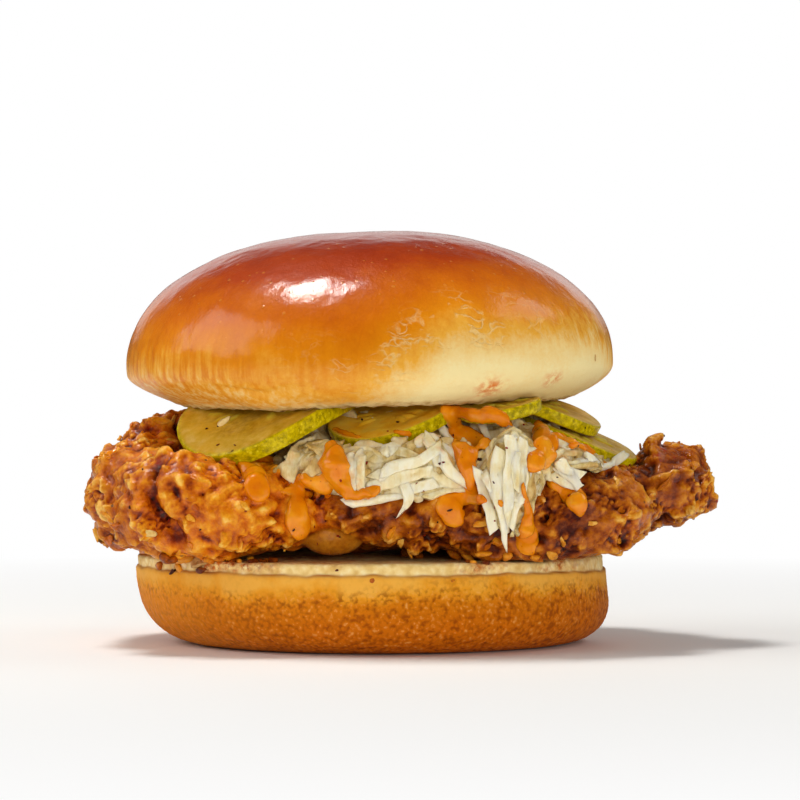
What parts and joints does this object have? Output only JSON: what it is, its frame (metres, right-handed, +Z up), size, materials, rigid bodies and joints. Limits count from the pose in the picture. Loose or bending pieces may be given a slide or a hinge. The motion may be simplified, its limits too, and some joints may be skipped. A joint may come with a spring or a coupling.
{
  "type": "chicken burger",
  "caption": "Fried chicken burger: glazed round bun, craggy fillet wider than the bun, a heap of shredded cabbage slaw and curled pickle slices under the crown.",
  "frame": {"origin": "centre of the heel bun's flat base", "axes": "+Z up through the stack, +X towards the fillet's curled tip on the right, -Y towards the front where the slaw hangs down"},
  "size_m": [0.1449, 0.111, 0.0948],
  "materials": {
    "crown_crust": "shiny egg-washed bread crust, from deep brown on top to pale cream at the lip",
    "heel_crust": "matt, finely pitted golden bread crust with a pale cut edge",
    "fried_coating": "craggy fried crust with oily highlights",
    "cabbage": "moist shredded cabbage",
    "pickle": "wet pickled cucumber, darker at the skin",
    "sauce": "thick creamy orange sauce"
  },
  "bodies": {
    "root": {"bun_bottom": "heel_crust", "chicken_fillet": "fried_coating", "slaw_heap": "cabbage", "pickle_front_left": "pickle", "pickle_front": "pickle", "pickle_front_middle": "pickle", "pickle_right_upper": "pickle", "pickle_right_lower": "pickle", "pickle_back": "pickle", "pickle_back_right": "pickle", "bun_top": "crown_crust"}
  },
  "joints": []
}
